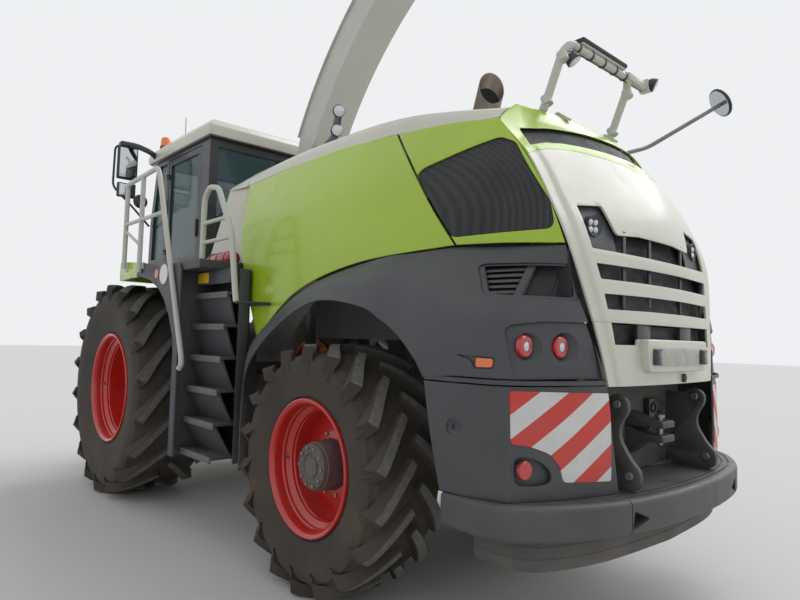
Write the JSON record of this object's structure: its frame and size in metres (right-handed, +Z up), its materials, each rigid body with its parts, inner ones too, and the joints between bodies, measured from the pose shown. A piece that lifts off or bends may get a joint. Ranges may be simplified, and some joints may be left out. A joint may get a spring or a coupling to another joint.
{
  "type": "forage harvester",
  "caption": "Self-propelled forage harvester without header: raised turning spout, ribbed intake rolls, glazed cab, steered rear axle and lifting covers on a lugged tractor-type chassis.",
  "frame": {"origin": "middle of the footprint box on the ground", "axes": "+X forward, towards the intake; +Y to the machine's left; +Z up"},
  "size_m": [6.5, 2.9986, 5.4481],
  "materials": {
    "frame_paint": "satin",
    "engine_metal": "matte",
    "dark_panel": "satin",
    "dark_steel": "satin",
    "cream_paint": "satin",
    "pale_paint": "satin",
    "green_paint": "gloss",
    "cab_paint": "satin",
    "window_glass": "gloss",
    "seat_plastic": "matte",
    "bare_steel": "satin",
    "exhaust_steel": "matte",
    "black_plastic": "matte",
    "lamp_plastic": "gloss",
    "red_paint": "gloss",
    "ram_paint": "satin",
    "rod_chrome": "polished",
    "tyre": "matte"
  },
  "bodies": {
    "root": {"frame": "frame_paint", "engine_block": "engine_metal", "front_axle": "frame_paint", "rear_axle": "frame_paint", "rear_step": "dark_panel", "tow_hitch": "dark_steel", "hood_top": "cream_paint", "fender_rear_left": "dark_panel", "fender_rear_right": "dark_panel", "corner_panels": "dark_panel", "rear_panel": "cream_paint", "boarding_steps": "dark_steel", "side_tank": "dark_panel", "turret_cover": "cream_paint", "platforms": "dark_steel", "handrails": "pale_paint", "front_fenders": "green_paint", "cab_shell": "cab_paint", "cab_roof": "cream_paint", "cab_glass": "window_glass", "driver_station": "seat_plastic", "drum_housing": "bare_steel", "crop_duct": "bare_steel", "exhaust": "exhaust_steel", "spout_rest": "pale_paint", "mirrors": "black_plastic", "lamps": "lamp_plastic", "extinguisher": "red_paint", "vent_fins": "black_plastic", "side_panel_left": "green_paint"},
    "door": {"cab_door": "cab_paint", "door_glass": "window_glass"},
    "side_cover_right": {"side_panel_right": "green_paint"},
    "mesh_cover_left": {"mesh_panel_left": "green_paint"},
    "mesh_cover_right": {"mesh_panel_right": "green_paint"},
    "rear_cover": {"rear_hood": "cream_paint"},
    "collar": {"spout_collar": "pale_paint"},
    "boom": {"spout_boom": "pale_paint"},
    "flap": {"spout_flap": "pale_paint"},
    "spout_ram": {"spout_barrel": "ram_paint"},
    "spout_piston": {"spout_rod": "rod_chrome"},
    "intake": {"intake_housing": "green_paint"},
    "roll_upper": {"feed_roll_upper": "bare_steel"},
    "roll_lower": {"feed_roll_lower": "bare_steel"},
    "lift_rams": {"lift_barrels": "ram_paint"},
    "lift_pistons": {"lift_rods": "rod_chrome"},
    "steer_left": {"knuckle_left": "frame_paint"},
    "steer_right": {"knuckle_right": "frame_paint"},
    "wheel_front_left": {"rim_front_left": "red_paint", "tyre_front_left": "tyre"},
    "wheel_front_right": {"rim_front_right": "red_paint", "tyre_front_right": "tyre"},
    "wheel_rear_left": {"rim_rear_left": "red_paint", "tyre_rear_left": "tyre"},
    "wheel_rear_right": {"rim_rear_right": "red_paint", "tyre_rear_right": "tyre"}
  },
  "joints": [
    {"name": "front_left_spin", "type": "hinge", "parent": "root", "child": "wheel_front_left", "pos_m": [1.6, 1.15, 0.98], "axis": [0, 1, 0], "continuous": true},
    {"name": "front_right_spin", "type": "hinge", "parent": "root", "child": "wheel_front_right", "pos_m": [1.6, -1.15, 0.98], "axis": [0, 1, 0], "continuous": true},
    {"name": "steer_left_turn", "type": "hinge", "parent": "root", "child": "steer_left", "pos_m": [-1.49, 0.7, 0.735], "axis": [0, 0, 1], "range_deg": [-32, 32]},
    {"name": "steer_right_turn", "type": "hinge", "parent": "root", "child": "steer_right", "pos_m": [-1.49, -0.7, 0.735], "axis": [0, 0, 1], "range_deg": [-32, 32]},
    {"name": "rear_left_spin", "type": "hinge", "parent": "steer_left", "child": "wheel_rear_left", "pos_m": [-1.49, 1.04, 0.735], "axis": [0, 1, 0], "continuous": true},
    {"name": "rear_right_spin", "type": "hinge", "parent": "steer_right", "child": "wheel_rear_right", "pos_m": [-1.49, -1.04, 0.735], "axis": [0, 1, 0], "continuous": true},
    {"name": "cab_door_swing", "type": "hinge", "parent": "root", "child": "door", "pos_m": [2, 0.834, 2.8], "axis": [0, 0, -1], "range_deg": [0, 80]},
    {"name": "side_cover_right_swing", "type": "hinge", "parent": "root", "child": "side_cover_right", "pos_m": [-0.9, -0.925, 2.8], "axis": [-1, 0, 0], "range_deg": [0, 55]},
    {"name": "mesh_cover_left_swing", "type": "hinge", "parent": "root", "child": "mesh_cover_left", "pos_m": [-1.88, 0.9047, 2.7846], "axis": [0.9891, 0.1305, 0.0687], "range_deg": [0, 50]},
    {"name": "mesh_cover_right_swing", "type": "hinge", "parent": "root", "child": "mesh_cover_right", "pos_m": [-1.88, -0.9047, 2.7846], "axis": [-0.9891, 0.1305, -0.0687], "range_deg": [0, 50]},
    {"name": "rear_hood_lift", "type": "hinge", "parent": "root", "child": "rear_cover", "pos_m": [-2.54, 0, 2.862], "axis": [0, 1, 0], "range_deg": [0, 60]},
    {"name": "spout_slew", "type": "hinge", "parent": "root", "child": "collar", "pos_m": [0.45, 0, 2.95], "axis": [0, 0, 1], "range_deg": [-105, 105]},
    {"name": "spout_lift", "type": "hinge", "parent": "collar", "child": "boom", "pos_m": [0.45, 0, 3.1], "axis": [0, 1, 0], "range_deg": [-33, 5]},
    {"name": "spout_flap_tilt", "type": "hinge", "parent": "boom", "child": "flap", "pos_m": [-2.29985, 0, 5.20242], "axis": [0, -1, 0], "range_deg": [-10, 60]},
    {"name": "spout_ram_swing", "type": "hinge", "parent": "collar", "child": "spout_ram", "pos_m": [0.78, -0.245, 3.01], "axis": [0, -1, 0], "range_deg": [-5, 27]},
    {"name": "spout_ram_stroke", "type": "slide", "parent": "spout_ram", "child": "spout_piston", "axis": [-0.5124, 0, 0.8587], "range_m": [-0.03, 0.12]},
    {"name": "intake_lift", "type": "hinge", "parent": "root", "child": "intake", "pos_m": [2, 0, 1.1], "axis": [0, -1, 0], "range_deg": [-12, 12]},
    {"name": "roll_upper_spin", "type": "hinge", "parent": "intake", "child": "roll_upper", "pos_m": [3, 0, 1.215], "axis": [0, 1, 0], "continuous": true},
    {"name": "roll_lower_spin", "type": "hinge", "parent": "intake", "child": "roll_lower", "pos_m": [3.04, 0, 0.85], "axis": [0, 1, 0], "continuous": true},
    {"name": "lift_rams_swing", "type": "hinge", "parent": "root", "child": "lift_rams", "pos_m": [1.66, 0, 0.7], "axis": [0, -1, 0], "range_deg": [-7.5, 7.5]},
    {"name": "lift_rams_stroke", "type": "slide", "parent": "lift_rams", "child": "lift_pistons", "axis": [0.9975, 0, 0.0712], "range_m": [-0.09, 0.09]}
  ],
  "couplings": [
    {"joint": "steer_right_turn", "follows": "steer_left_turn", "ratio": 1},
    {"joint": "spout_ram_swing", "follows": "spout_lift", "ratio": -0.732},
    {"joint": "spout_ram_stroke", "follows": "spout_lift", "m_per_rad": -0.1884},
    {"joint": "lift_rams_swing", "follows": "intake_lift", "ratio": 0.563},
    {"joint": "lift_rams_stroke", "follows": "intake_lift", "m_per_rad": 0.3742}
  ]
}
